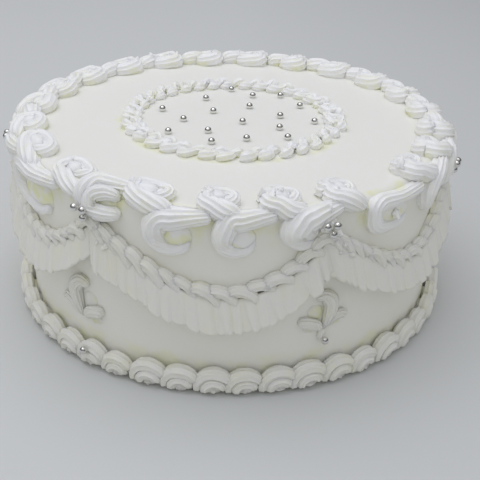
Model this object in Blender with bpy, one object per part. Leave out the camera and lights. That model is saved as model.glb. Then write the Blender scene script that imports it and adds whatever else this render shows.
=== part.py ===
"""Round iced cake with piped cream borders, swags, fleurs and silver sugar balls.

The cake stands on z = 0 with its axis on +Z, and its front looks along -Y.
Lengths below are in millimetres and angles in degrees. A place on the icing is
given as an azimuth (0 at the front, growing towards +X), a distance along the
profile from the middle of the rounded rim (inwards over the top is positive,
down the side is negative) and a height off the icing.
"""

import math
import random

import bmesh
import bpy

METRES = 0.001
SEED = 7

# Cake
CAKE_RADIUS = 115.3
CAKE_HEIGHT = 95.7
RIM_ROUND = 5.0
RIM_ARC_STEPS = 4
CAKE_SEGMENTS = 56
CLEARANCE = 0.3
RIM_FLOOR = 0.8
SIDE_FLOOR = 0.4
FLOOR_STEP = 0.15
RIM_LIFT = 1.3
RIM_KEEP = 0.5
BORDER_KEEP = 0.85
FLEUR_KEEP = 0.8
RIM_LIFT_REACH = 9.0

# Sugar balls
BALL_RADIUS = 1.95
BALL_LIFT = 1.35
BALL_SEGMENTS = 5
BALL_RINGS = 4
TOP_BALLS = (
    (41.2, -103.8), (27.8, -77.7), (42.3, -53.6), (33.8, -151.6), (13.7, -125.2), (26.3, -30.0),
    (39.8, -15.8), (47.2, -178.5), (38.1, 162.4), (19.7, 151.6), (9.7, 33.0), (33.7, 12.5),
    (46.9, 143.2), (26.5, 95.3), (29.9, 57.5), (41.9, 43.6), (43.4, 117.3), (45.3, 82.7),
)

# Swags hang between seven joins
SWAG_JOINS = (-34.0, 20.8, 70.5, 122.0, 173.5, 225.0, 276.5)
SWAG_TOP = 84.5
SWAG_DROP = 26.5
SWAG_SKEW = 1.3
SWAG_STATIONS = 23
HEADING_TALL = 9.0
HEADING_THICK = 6.0
FRILL_TALL_LEFT = 15.5
FRILL_TALL_RIGHT = 11.0
FRILL_THICK = 6.4
PLEAT_DEPTH = 1.6
JOIN_GAP = 0.5

# Lower scrolls: azimuth, width and the height of the lowest point
FRONT_SCROLLS = (
    (-61.0, 32.0, 68.0), (-42.0, 31.0, 75.0), (-13.0, 25.0, 71.0), (1.5, 22.5, 72.0),
    (16.7, 22.5, 74.0), (39.5, 33.0, 73.0), (57.5, 25.0, 72.0), (72.0, 24.0, 72.0),
)
BACK_SCROLLS = 13
BACK_WIDTH = 27.0
BACK_LOWEST = 72.0
SCROLL_TOP = 96.5
SCROLL_STROKE = 5.4
SCROLL_START_PAST = 5.5
NARROW_WIDTH = 25.0

# Upper scrolls lie along the rim, from the edge of one lower scroll to the next
UPPER_STROKE = 5.0
UPPER_TIP_BACK = 0.8
UPPER_HEAD_SHARE = 0.68
UPPER_HEAD_LONGEST = 29.0

# Ring on the top
RING_RADIUS = 56.0
RING_HALF_WIDTH = 6.2
RING_TALL = 5.2
RING_SHELLS = 34

# Base border
BASE_SHELLS = 47
BASE_OUT = 10.5
BASE_TALL = 15.5

# Fleurs: three shells that meet under each swag join
FLEUR_REACH_UP = 20.0
FLEUR_REACH_SIDE = 13.0
FLEUR_HEAD = 4.6
FLEUR_TAIL = 1.7
FLEUR_JOIN_HEIGHT = 30.6
FLEUR_LEAN = 1.9
LOW_FLEUR_HEIGHT = 22.5
LOW_FLEUR_SCALE = 1.2

SECTION_ANGLES = (-56.0, 0.0, 44.0, 90.0, 136.0, 180.0, 236.0)

RIM_QUARTER = RIM_ROUND * math.pi / 4
TOP_START = CAKE_RADIUS - RIM_ROUND


def on_icing(azimuth, along, height):
    """Return the point, in metres, at a place on the icing."""
    if along > RIM_QUARTER:
        radius = TOP_START - (along - RIM_QUARTER)
        z = CAKE_HEIGHT + height
    elif along < -RIM_QUARTER:
        radius = CAKE_RADIUS + height
        z = CAKE_HEIGHT - RIM_ROUND + along + RIM_QUARTER
    else:
        angle = math.pi / 4 + along / RIM_ROUND
        radius = TOP_START + (RIM_ROUND + height) * math.cos(angle)
        z = CAKE_HEIGHT - RIM_ROUND + (RIM_ROUND + height) * math.sin(angle)
    turn = math.radians(azimuth)
    x = radius * math.sin(turn)
    y = -radius * math.cos(turn)
    return (x * METRES, y * METRES, z * METRES)


def along_at_height(z):
    """Return the profile distance of a height on the side."""
    return z - (CAKE_HEIGHT - RIM_ROUND + RIM_QUARTER)


def along_at_radius(radius):
    """Return the profile distance of a radius on the top."""
    return TOP_START - radius + RIM_QUARTER


def radius_at(along):
    """Return the cake's radius at a profile distance."""
    if along > RIM_QUARTER:
        return TOP_START - (along - RIM_QUARTER)
    if along < -RIM_QUARTER:
        return CAKE_RADIUS
    return TOP_START + RIM_ROUND * math.cos(math.pi / 4 + along / RIM_ROUND)


def degrees_for(length, along):
    """Return the azimuth that a length round the cake spans at a profile distance."""
    return math.degrees(length / radius_at(along))


def make_material(name, colour, roughness, metallic):
    """Return a material with one Principled shader."""
    material = bpy.data.materials.new(name)
    material.use_nodes = True
    shader = material.node_tree.nodes["Principled BSDF"]
    shader.inputs["Base Color"].default_value = (*colour, 1.0)
    shader.inputs["Roughness"].default_value = roughness
    shader.inputs["Metallic"].default_value = metallic
    return material


def new_object(name, mesh_data, material):
    """Return an object in the scene for a bmesh, which is freed."""
    bmesh.ops.recalc_face_normals(mesh_data, faces=mesh_data.faces)
    mesh = bpy.data.meshes.new(name)
    mesh_data.to_mesh(mesh)
    mesh_data.free()
    mesh.materials.append(material)
    item = bpy.data.objects.new(name, mesh)
    bpy.context.scene.collection.objects.link(item)
    return item


def skin_sections(name, sections, material, closed):
    """Return a solid skinned over equal sections, a ring where closed is true."""
    mesh_data = bmesh.new()
    loops = [[mesh_data.verts.new(point) for point in section] for section in sections]
    count = len(loops[0])
    pairs = list(zip(loops, loops[1:]))
    if closed:
        pairs.append((loops[-1], loops[0]))
    else:
        mesh_data.faces.new(loops[0])
        mesh_data.faces.new(list(reversed(loops[-1])))
    for first, second in pairs:
        for k in range(count):
            after = (k + 1) % count
            mesh_data.faces.new((first[k], first[after], second[after], second[k]))
    return new_object(name, mesh_data, material)


def smooth_path(points, steps):
    """Return a smooth curve through points of equal length, steps to each span."""
    count = len(points)
    curve = []
    for i in range(count - 1):
        before = points[max(i - 1, 0)]
        after = points[min(i + 2, count - 1)]
        for k in range(steps):
            t = k / steps
            weights = (
                -0.5 * t + t * t - 0.5 * t ** 3,
                1.0 - 2.5 * t * t + 1.5 * t ** 3,
                0.5 * t + 2.0 * t * t - 1.5 * t ** 3,
                -0.5 * t * t + 0.5 * t ** 3,
            )
            spans = zip(before, points[i], points[i + 1], after)
            curve.append(tuple(sum(w * c for w, c in zip(weights, span)) for span in spans))
    curve.append(points[-1])
    return curve


def piped_stroke(name, centre, points, floor, steps, material):
    """Return a piped stroke along points of round, along, height and radius.

    The first number of a point is a length round the cake from the centre azimuth.
    """
    curve = smooth_path(points, steps)
    sections = []
    for i, (round_length, along, height, radius) in enumerate(curve):
        back = curve[max(i - 1, 0)]
        ahead = curve[min(i + 1, len(curve) - 1)]
        run = (ahead[0] - back[0], ahead[1] - back[1])
        size = math.hypot(*run) or 1.0
        side = (-run[1] / size, run[0] / size)
        section = []
        for angle in SECTION_ANGLES:
            across = radius * math.cos(math.radians(angle))
            lift = height + radius * math.sin(math.radians(angle))
            spot = along + across * side[1]
            azimuth = centre + degrees_for(round_length + across * side[0], spot)
            rim_lift = RIM_LIFT * max(0.0, 1.0 - abs(spot) / RIM_LIFT_REACH)
            section.append(on_icing(azimuth, spot, max(lift, floor + rim_lift)))
        sections.append(section)
    return skin_sections(name, sections, material, False)


def sugar_ball(name, place, material):
    """Return a small sugar ball whose middle is at a place on the icing."""
    mesh_data = bmesh.new()
    bmesh.ops.create_uvsphere(
        mesh_data, u_segments=BALL_SEGMENTS, v_segments=BALL_RINGS, radius=BALL_RADIUS * METRES)
    bmesh.ops.translate(mesh_data, verts=mesh_data.verts, vec=on_icing(*place))
    return new_object(name, mesh_data, material)


def turned_cake(name, material):
    """Return the cake's turned body."""
    profile = [(CAKE_RADIUS, 0.0)]
    for step in range(RIM_ARC_STEPS + 1):
        angle = math.radians(90.0 * step / RIM_ARC_STEPS)
        radius = TOP_START + RIM_ROUND * math.cos(angle)
        profile.append((radius, CAKE_HEIGHT - RIM_ROUND + RIM_ROUND * math.sin(angle)))
    mesh_data = bmesh.new()
    rings = []
    for radius, z in profile:
        ring = []
        for k in range(CAKE_SEGMENTS):
            turn = 2.0 * math.pi * k / CAKE_SEGMENTS
            x = radius * math.sin(turn) * METRES
            y = -radius * math.cos(turn) * METRES
            ring.append(mesh_data.verts.new((x, y, z * METRES)))
        rings.append(ring)
    mesh_data.faces.new(rings[0])
    mesh_data.faces.new(list(reversed(rings[-1])))
    for low, high in zip(rings, rings[1:]):
        for k in range(CAKE_SEGMENTS):
            after = (k + 1) % CAKE_SEGMENTS
            mesh_data.faces.new((low[k], low[after], high[after], high[k]))
    return new_object(name, mesh_data, material)


def join_pieces(item, others):
    """Join other pieces to an item by one Boolean union, and remove them."""
    group = bpy.data.collections.new(item.name + "_pieces")
    bpy.context.scene.collection.children.link(group)
    for other in others:
        bpy.context.scene.collection.objects.unlink(other)
        group.objects.link(other)
    modifier = item.modifiers.new("join", "BOOLEAN")
    modifier.operation = "UNION"
    modifier.operand_type = "COLLECTION"
    modifier.collection = group
    modifier.solver = "MANIFOLD"
    with bpy.context.temp_override(object=item, active_object=item):
        bpy.ops.object.modifier_apply(modifier=modifier.name)
    for other in others:
        bpy.data.objects.remove(other)
    bpy.data.collections.remove(group)


def signed_volume(faces):
    """Return the volume inside some faces, negative where they point inwards."""
    total = 0.0
    for face in faces:
        corners = [vert.co for vert in face.verts]
        for k in range(1, len(corners) - 1):
            total += corners[0].dot(corners[k].cross(corners[k + 1])) / 6.0
    return total


def keep_main_shell(item):
    """Fill sealed hollows and drop loose scraps, leaving the largest shell."""
    mesh_data = bmesh.new()
    mesh_data.from_mesh(item.data)
    bmesh.ops.triangulate(mesh_data, faces=mesh_data.faces)
    unseen = set(mesh_data.faces)
    shells = []
    while unseen:
        stack = [unseen.pop()]
        shell = []
        while stack:
            face = stack.pop()
            shell.append(face)
            for edge in face.edges:
                if len(edge.link_faces) != 2:
                    continue
                for other in edge.link_faces:
                    if other in unseen:
                        unseen.remove(other)
                        stack.append(other)
        shells.append(shell)
    shells.sort(key=signed_volume)
    extra = [face for shell in shells[:-1] for face in shell]
    bmesh.ops.delete(mesh_data, geom=extra, context="FACES")
    loose = [vert for vert in mesh_data.verts if not vert.link_faces]
    bmesh.ops.delete(mesh_data, geom=loose, context="VERTS")
    mesh_data.to_mesh(item.data)
    mesh_data.free()


def thin_faces(item, share):
    """Merge the slivers that a union leaves, keeping a share of the faces."""
    modifier = item.modifiers.new("thin", "DECIMATE")
    modifier.ratio = share
    with bpy.context.temp_override(object=item, active_object=item):
        bpy.ops.object.modifier_apply(modifier=modifier.name)


def fuse(name, pieces, keep=1.0):
    """Join pieces into one named solid, keeping a share of its faces."""
    item = pieces[0]
    join_pieces(item, pieces[1:])
    keep_main_shell(item)
    if keep < 1.0:
        thin_faces(item, keep)
    item.name = name
    item.data.name = name
    return item


def all_lower_scrolls():
    """Return azimuth, width and lowest height of each lower scroll round the cake."""
    rng = random.Random(SEED)
    scrolls = list(FRONT_SCROLLS)
    first = FRONT_SCROLLS[-1][0]
    span = 360.0 + FRONT_SCROLLS[0][0] - first
    for k in range(1, BACK_SCROLLS + 1):
        azimuth = first + span * k / (BACK_SCROLLS + 1) + rng.uniform(-0.8, 0.8)
        width = BACK_WIDTH + rng.uniform(-1.5, 1.5)
        lowest = BACK_LOWEST + rng.uniform(-1.5, 1.5)
        scrolls.append((azimuth, width, lowest))
    return scrolls


def lower_scroll(index, azimuth, width, lowest, material):
    """Return the two strokes of one lower scroll: the outer C and the inner curl."""
    stroke = SCROLL_STROKE * min(1.0, width / NARROW_WIDTH)
    reach = width / 2 - stroke
    top = along_at_height(SCROLL_TOP) - stroke
    bottom = along_at_height(lowest) + stroke
    middle = (top + bottom) / 2
    rise = (top - bottom) / 2

    def spot(x, y, share):
        return (x * reach, middle + y * rise, stroke * share * 0.45, stroke * share)

    start = (width / 2 + SCROLL_START_PAST) / reach
    outer = [
        spot(start, 1.35, 0.7), spot(0.4, 1.06, 0.92), spot(-0.5, 0.86, 1.0), spot(-1.0, 0.1, 1.0),
        spot(-0.72, -0.68, 0.95), spot(0.0, -1.0, 0.85), spot(0.66, -0.72, 0.7),
    ]
    inner = [spot(0.34, -0.86, 0.66), spot(0.94, -0.2, 0.8), spot(0.5, 0.4, 0.66), spot(-0.05, 0.0, 0.5)]
    return [
        piped_stroke(f"lower_outer_{index}", azimuth, outer, RIM_FLOOR, 1, material),
        piped_stroke(f"lower_inner_{index}", azimuth, inner, RIM_FLOOR + FLOOR_STEP, 1, material),
    ]


def upper_scroll(index, before, after, material):
    """Return the two strokes of the upper scroll between two lower ones."""
    edge = degrees_for(before[1] / 2 - UPPER_TIP_BACK, 0.0)
    tip = before[0] + edge
    tail = after[0] + degrees_for(after[1] * 0.12, 0.0)
    length = math.radians((tail - tip) % 360.0) * radius_at(0.0)
    head = min(UPPER_HEAD_SHARE * length, UPPER_HEAD_LONGEST)
    stroke = UPPER_STROKE

    def spot(x, y, share):
        return (x, y, stroke * share * 0.5, stroke * share)

    far = [
        spot(0.9 * head, 6.6, 0.72), spot(0.62 * head, 8.8, 0.96), spot(0.32 * head, 8.4, 1.0),
        spot(4.8, 4.6, 0.95),
    ]
    near = [
        spot(5.0, 5.0, 0.8), spot(0.4 * head, 1.4, 1.0), spot(0.8 * head, -0.2, 1.0),
        spot(0.5 * (head + length), -1.6, 0.85), spot(length, -4.2, 0.5),
    ]
    return [
        piped_stroke(f"upper_far_{index}", tip, far, RIM_FLOOR + 2 * FLOOR_STEP, 1, material),
        piped_stroke(f"upper_near_{index}", tip, near, RIM_FLOOR + 3 * FLOOR_STEP, 1, material),
    ]


def join_mound(index, azimuth, cream, silver):
    """Return the mound of cream at a swag join and its three sugar balls."""
    middle = along_at_height(87.0)
    points = [
        (-1.6, middle + 3.4, 1.6, 3.0), (0.4, middle + 1.4, 3.3, 4.4), (1.4, middle - 0.8, 2.4, 3.4),
    ]
    mound = piped_stroke(f"mound_{index}", azimuth, points, RIM_FLOOR + 4 * FLOOR_STEP, 1, cream)
    places = ((-0.9, 89.2), (1.4, 89.0), (0.9, 84.4))
    balls = []
    for k, (turn, z) in enumerate(places):
        place = (azimuth + turn, along_at_height(z), 8.2 - 0.25 * (89.2 - z))
        balls.append(sugar_ball(f"join_ball_{index}_{k}", place, silver))
    return [mound, *balls]


def build_rim(scrolls, cream, silver):
    """Build the continuous border of upper and lower scrolls round the rim."""
    pieces = []
    for index, scroll in enumerate(scrolls):
        pieces += lower_scroll(index, *scroll, cream)
        pieces += upper_scroll(index, scrolls[index - 1], scroll, cream)
    for index, azimuth in enumerate(SWAG_JOINS):
        pieces += join_mound(index, azimuth, cream, silver)
    return fuse("rim_scrolls", pieces, RIM_KEEP)


def highest_swag(azimuth, scrolls):
    """Return the greatest height that a swag may reach under the rim's scrolls."""
    limit = 88.0
    for centre, width, lowest in scrolls:
        reach = degrees_for(width / 2 + 1.2, -20.0)
        offset = ((azimuth - centre + 180.0) % 360.0 - 180.0) / reach
        if abs(offset) < 1.0:
            middle = (SCROLL_TOP + lowest) / 2
            drop = (SCROLL_TOP - lowest) / 2 + 1.0
            limit = min(limit, middle - drop * math.sqrt(1.0 - offset * offset))
    for join in SWAG_JOINS:
        offset = abs((azimuth - join + 180.0) % 360.0 - 180.0)
        if offset < 4.0:
            limit = min(limit, 80.6)
    return limit


def build_swag(index, start, end, scrolls, cream):
    """Build one swag: a crimped heading with a pleated frill hanging from it."""
    gap = degrees_for(JOIN_GAP, -20.0)
    sections = []
    for k in range(SWAG_STATIONS):
        share = k / (SWAG_STATIONS - 1)
        azimuth = start + gap + (end - start - 2 * gap) * share
        hang = 1.0 - (2.0 * share ** SWAG_SKEW - 1.0) ** 2
        free_top = SWAG_TOP - SWAG_DROP * hang
        fade = min(1.0, 0.55 + 4.0 * share, 0.55 + 4.0 * (1.0 - share))
        wave = 1.0 if k % 2 else -1.0
        frill = FRILL_TALL_LEFT + (FRILL_TALL_RIGHT - FRILL_TALL_LEFT) * share
        bottom = free_top - HEADING_TALL - frill + 0.5 * wave
        top = min(free_top, highest_swag(azimuth, scrolls))
        waist = top - HEADING_TALL * (top - bottom) / (HEADING_TALL + frill)
        thick = HEADING_THICK * fade
        rim = FRILL_THICK * fade + PLEAT_DEPTH * wave
        outline = (
            (top - 1.0, CLEARANCE), (top + 0.5 * wave, 0.55 * thick), (top - 4.2, thick + 0.4 * wave),
            (waist, 0.72 * thick), (bottom, rim), (bottom + 0.6, CLEARANCE),
        )
        sections.append([on_icing(azimuth, along_at_height(z), out) for z, out in outline])
    return skin_sections(f"swag_{index}", sections, cream, False)


def build_base_border(low_ball, cream, silver):
    """Build the ring of shells piped round the foot of the cake."""
    rng = random.Random(SEED + 1)
    shape = ((0.0, 0.8), (0.38, 1.04), (0.72, 0.98))
    sections = []
    for shell in range(BASE_SHELLS):
        size = 1.0 + rng.uniform(-0.06, 0.06)
        for share, swell in shape:
            azimuth = 360.0 * (shell + share) / BASE_SHELLS
            out = BASE_OUT * swell * size
            top = BASE_TALL * (0.86 + 0.14 * (swell - 0.8) / 0.24) * size
            outline = (
                (0.0, CLEARANCE), (0.0, 0.86 * out), (0.3 * top, out), (0.68 * top, 0.8 * out),
                (top, 0.42 * out), (top - 1.2, CLEARANCE),
            )
            sections.append([on_icing(azimuth, along_at_height(z), d) for z, d in outline])
    ring = skin_sections("base_border", sections, cream, True)
    ball = sugar_ball("base_ball", low_ball, silver)
    return fuse("base_border", [ring, ball], BORDER_KEEP)


def build_top_ring(cream):
    """Build the rope of small slanting shells on the top."""
    rng = random.Random(SEED + 2)
    shape = ((0.0, 0.74, -0.8), (0.4, 1.05, 0.9), (0.75, 0.95, 0.2))
    sections = []
    for shell in range(RING_SHELLS):
        size = 1.0 + rng.uniform(-0.07, 0.07)
        for share, swell, shift in shape:
            azimuth = 360.0 * (shell + share) / RING_SHELLS
            half = RING_HALF_WIDTH * swell * size
            tall = RING_TALL * swell * size
            outline = (
                (half, CLEARANCE), (0.94 * half, 0.42 * tall), (0.5 * half, 0.92 * tall),
                (-0.3 * half, tall), (-0.88 * half, 0.5 * tall), (-half, CLEARANCE),
            )
            sections.append([
                on_icing(azimuth, along_at_radius(RING_RADIUS + shift + x), h) for x, h in outline])
    ring = skin_sections("top_ring", sections, cream, True)
    thin_faces(ring, BORDER_KEEP)
    return ring


def build_fleur(index, azimuth, height, scale, with_ball, cream, silver):
    """Build a fleur of three shells whose tails meet above a sugar ball."""
    join = along_at_height(height)
    lean = FLEUR_LEAN * scale
    head = FLEUR_HEAD * scale
    up = FLEUR_REACH_UP * scale
    side = FLEUR_REACH_SIDE * scale
    lobes = (
        ((-0.05 * up, 1.0 * up), (0.02 * up, 0.62 * up), (0.04 * up, 0.25 * up), (0.0, -1.0)),
        ((-side, 0.5), (-0.66 * side, 0.5), (-0.3 * side, -0.4), (0.3, -1.6)),
        ((side * 0.95, 4.0), (0.62 * side, 3.2), (0.28 * side, 1.2), (-0.3, -1.2)),
    )
    shares = (0.62, 1.0, 0.66, FLEUR_TAIL / FLEUR_HEAD)
    pieces = []
    for k, lobe in enumerate(lobes):
        points = []
        for (x, y), share in zip(lobe, shares):
            points.append((x + lean, join + y, 0.1, head * share))
        floor = SIDE_FLOOR + k * FLOOR_STEP
        pieces.append(piped_stroke(f"lobe_{index}_{k}", azimuth, points, floor, 1, cream))
    if with_ball:
        knot = [(lean, join - 1.0, 0.6, 1.8), (0.4, join - 6.6, 0.9, 2.0)]
        floor = SIDE_FLOOR + 3 * FLOOR_STEP
        pieces.append(piped_stroke(f"knot_{index}", azimuth, knot, floor, 1, cream))
        pieces.append(sugar_ball(f"fleur_ball_{index}", (azimuth + 1.0, join - 6.1, 3.6), silver))
    return fuse(f"fleur_{index}", pieces, FLEUR_KEEP)


def build_cake(icing, silver):
    """Build the iced cake with the sugar balls strewn on its top."""
    pieces = [turned_cake("cake_body", icing)]
    for k, (radius, azimuth) in enumerate(TOP_BALLS):
        place = (azimuth, along_at_radius(radius), BALL_LIFT)
        pieces.append(sugar_ball(f"top_ball_{k}", place, silver))
    return fuse("cake_body", pieces)


def main():
    """Clear the scene and build every piece of the cake."""
    for item in list(bpy.data.objects):
        bpy.data.objects.remove(item)
    icing = make_material("icing_coat", (0.86, 0.86, 0.83), 0.55, 0.0)
    cream = make_material("piped_cream", (0.84, 0.84, 0.80), 0.5, 0.0)
    silver = make_material("silver_ball", (0.72, 0.72, 0.72), 0.15, 1.0)
    scrolls = all_lower_scrolls()
    build_cake(icing, silver)
    build_rim(scrolls, cream, silver)
    build_top_ring(cream)
    build_base_border((SWAG_JOINS[0] - 1.2, along_at_height(10.6), 9.4), cream, silver)
    for index, join in enumerate(SWAG_JOINS):
        following = SWAG_JOINS[(index + 1) % len(SWAG_JOINS)]
        end = join + (following - join) % 360.0
        build_swag(index + 1, join, end, scrolls, cream)
        if index == 0:
            build_fleur(index + 1, join - 3.0, LOW_FLEUR_HEIGHT, LOW_FLEUR_SCALE, False, cream, silver)
        else:
            build_fleur(index + 1, join + 1.0, FLEUR_JOIN_HEIGHT, 1.0, True, cream, silver)


main()
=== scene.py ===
"""Looks of a round iced cake with piped cream scrolls, swags, fleurs and silver sugar balls.

Lengths are in millimetres and angles in degrees until a mesh is made. A place on the
icing is an azimuth (0 at the front, growing towards +X), a distance along the profile
from the middle of the rounded rim (inwards over the top is positive, down the side is
negative) and a height off the icing. A stroke is a list of rows, each a length round the
cake from the stroke's centre, a profile distance, a height and a radius.
"""

import logging
import math
import random
from dataclasses import dataclass, field, replace
from enum import Enum

import bpy
import numpy as np
from mathutils import Matrix

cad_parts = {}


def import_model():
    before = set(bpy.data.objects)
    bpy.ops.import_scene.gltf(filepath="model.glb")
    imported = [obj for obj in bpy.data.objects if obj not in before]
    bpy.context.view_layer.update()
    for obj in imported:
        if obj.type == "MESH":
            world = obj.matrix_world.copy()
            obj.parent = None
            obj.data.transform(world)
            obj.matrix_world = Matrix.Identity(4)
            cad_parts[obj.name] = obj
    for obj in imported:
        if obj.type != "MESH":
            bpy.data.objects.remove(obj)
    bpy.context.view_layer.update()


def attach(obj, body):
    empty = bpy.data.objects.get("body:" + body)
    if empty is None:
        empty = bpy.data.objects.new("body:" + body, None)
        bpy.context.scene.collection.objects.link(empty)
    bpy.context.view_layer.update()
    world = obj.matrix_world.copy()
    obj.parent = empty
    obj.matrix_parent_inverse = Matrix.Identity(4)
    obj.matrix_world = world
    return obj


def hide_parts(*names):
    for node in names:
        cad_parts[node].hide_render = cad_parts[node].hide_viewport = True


METRES = 0.001
BODY = "root"
SWAG_JOINS = (-34.0, 20.8, 70.5, 122.0, 173.5, 225.0, 276.5)

Array = np.ndarray
Number = Array | float
Pair = tuple[float, float]
Triple = tuple[float, float, float]
Place = Triple
Row = tuple[float, float, float, float]
Colour = Triple

log = logging.getLogger("cake")


class StrokeEnd(Enum):
    """How a piped stroke begins or stops: its length in radii and its taper's power."""

    ROUND = (0.9, 0.5)
    TUCKED = (0.6, 0.35)
    PULLED = (2.6, 0.85)


Ends = tuple[StrokeEnd, StrokeEnd]
BOTH_ROUND = (StrokeEnd.ROUND, StrokeEnd.ROUND)
PULLED_OFF = (StrokeEnd.ROUND, StrokeEnd.PULLED)


@dataclass(frozen=True)
class IcingProfile:
    """The iced body that everything is piped on.

    Attributes:
        radius: Radius of the side.
        height: Height of the top.
        rim: Radius of the rounded rim.
    """

    radius: float = 115.3
    height: float = 95.7
    rim: float = 5.0

    @property
    def quarter(self) -> float:
        """Profile distance from the middle of the rim to where it ends."""
        return self.rim * math.pi / 4

    @property
    def top_start(self) -> float:
        """Radius at which the flat top starts."""
        return self.radius - self.rim

    def at_height(self, z: Number) -> Number:
        """Return the profile distance of a height on the side."""
        return z - (self.height - self.rim + self.quarter)

    def at_radius(self, radius: float) -> float:
        """Return the profile distance of a radius on the top."""
        return self.top_start - radius + self.quarter

    def radius_at(self, along: Number) -> Number:
        """Return the cake's radius.

        Args:
            along: Profile distances.

        Returns:
            The radius at each.
        """
        near = np.clip(along, -self.quarter, self.quarter)
        rim = self.top_start + self.rim * np.cos(math.pi / 4 + near / self.rim)
        return rim - np.maximum(along - near, 0.0)

    def degrees_for(self, length: Number, along: Number) -> Number:
        """Return the azimuth that lengths round the cake span at profile distances."""
        return np.degrees(length / self.radius_at(along))

    def points(self, azimuth: Number, along: Number, out: Number) -> Array:
        """Return points in metres.

        Args:
            azimuth: Azimuths in degrees.
            along: Profile distances.
            out: Heights off the icing.

        Returns:
            Array with one row of x, y and z for each place.
        """
        near = np.clip(along, -self.quarter, self.quarter)
        beyond = along - near
        angle = math.pi / 4 + near / self.rim
        radius = self.top_start + (self.rim + out) * np.cos(angle) - np.maximum(beyond, 0.0)
        z = self.height - self.rim + (self.rim + out) * np.sin(angle) + np.minimum(beyond, 0.0)
        turn = np.radians(azimuth)
        return np.stack([radius * np.sin(turn), -radius * np.cos(turn), z], axis=-1) * METRES


PROFILE = IcingProfile()


def smooth_curve(points: list[Row], steps: int = 12) -> Array:
    """Return a smooth curve through the points of a stroke.

    Args:
        points: The stroke's rows.
        steps: Number of steps between two points.

    Returns:
        Array of rows like the points.
    """
    spots = np.array(points)
    padded = np.vstack([2 * spots[0] - spots[1], spots, 2 * spots[-1] - spots[-2]])
    share = np.arange(steps)[:, None] / steps
    weights = (
        -0.5 * share + share ** 2 - 0.5 * share ** 3,
        1.0 - 2.5 * share ** 2 + 1.5 * share ** 3,
        0.5 * share + 2.0 * share ** 2 - 1.5 * share ** 3,
        -0.5 * share ** 2 + 0.5 * share ** 3,
    )
    spans = [
        sum(weight * padded[i + k] for k, weight in enumerate(weights))
        for i in range(len(spots) - 1)
    ]
    return np.vstack([*spans, spots[-1:]])


def wander(rng: np.random.Generator, distances: Array, wavelength: float, columns: int) -> Array:
    """Return smooth random values between -1 and 1 along a stroke.

    Args:
        rng: Source of the random draws.
        distances: Distances of the stations, from 0.
        wavelength: Distance between two independent values.
        columns: Number of independent values at a station.

    Returns:
        Array with a row for each station.
    """
    place = distances / wavelength
    low = place.astype(int)
    blend = place - low
    blend = (blend * blend * (3.0 - 2.0 * blend))[:, None]
    knots = rng.uniform(-1.0, 1.0, (low[-1] + 2, columns))
    return knots[low] * (1.0 - blend) + knots[low + 1] * blend


def deselect_all() -> None:
    """Leave nothing selected and nothing active."""
    for item in bpy.context.selected_objects:
        item.select_set(False)
    bpy.context.view_layer.objects.active = None


def dress(piece: bpy.types.Object, slot: str, *nodes: str) -> None:
    """Attach a finished piece to its body and hide the CAD nodes that it stands for.

    Args:
        piece: The finished piece.
        slot: Not used.
        nodes: CAD nodes that the piece replaces.
    """
    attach(piece, BODY)
    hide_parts(*nodes)
    log.info("%s: %d faces", piece.name, len(piece.data.polygons))


def mark_painted_shade(mesh: bpy.types.Mesh, depth: Array) -> None:
    """Keep how strongly painted shade tints each vertex of a mesh, from 0 to 1."""
    # The groove attribute holds painted shade: the materials mix a yellow-green shade colour in by it.
    marks = mesh.attributes.new("groove", "FLOAT", "POINT")
    marks.data.foreach_set("value", depth.astype(np.float32))


@dataclass
class CreamMesh:
    """Cream that is gathered into one piece.

    Attributes:
        rng: Source of the random draws of what is piped.
        points: Blocks of rows of x, y and z in metres.
        faces: Vertex numbers of each face.
        painted_shade: Blocks of painted shade strengths, one for each vertex.
        count: Number of vertices so far.
    """

    rng: np.random.Generator
    points: list[Array] = field(default_factory=list)
    faces: list[list[int]] = field(default_factory=list)
    painted_shade: list[Array] = field(default_factory=list)
    count: int = 0

    def add_tube(
        self, rings: Array, tips: Array, painted_shade: Array, tip_shade: float, clockwise: bool = False
    ) -> None:
        """Add a closed tube whose ends shrink to a point.

        Args:
            rings: Rings of points in metres, one after another.
            tips: The points that close its two ends.
            painted_shade: Painted shade of each point of the rings, 0 to 1.
            tip_shade: Painted shade of the tips.
            clockwise: Whether the rings run the other way round.
        """
        stations, across = rings.shape[:2]
        ring = np.arange(across)
        after = (ring + 1) % across
        start = (np.arange(stations - 1) * across)[:, None]
        quads = np.stack(
            [start + ring, start + after, start + across + after, start + across + ring], axis=-1)
        first = np.full(across, stations * across)
        last = (stations - 1) * across
        head = np.stack([first, after, ring], axis=-1)
        tail = np.stack([first + 1, last + ring, last + after], axis=-1)
        for block in (quads.reshape(-1, 4), head, tail):
            order = -1 if clockwise else 1
            self.faces.extend((block[:, ::order] + self.count).tolist())
        self.points.append(np.vstack([rings.reshape(-1, 3), tips]))
        self.painted_shade.append(np.concatenate([painted_shade.ravel(), [tip_shade, tip_shade]]))
        self.count += stations * across + 2

    def finish(self, name: str, material: bpy.types.Material, node: str) -> None:
        """Make the cream a dressed piece that is shaded smooth.

        Args:
            name: Name of the piece.
            material: The cream's material.
            node: CAD node that the piece replaces.
        """
        mesh = bpy.data.meshes.new(name)
        mesh.from_pydata(np.vstack(self.points).tolist(), [], self.faces)
        mark_painted_shade(mesh, np.concatenate(self.painted_shade))
        mesh.materials.append(material)
        mesh.shade_smooth()
        item = bpy.data.objects.new(name, mesh)
        bpy.context.scene.collection.objects.link(item)
        dress(item, "piped_cream", node)


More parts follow.
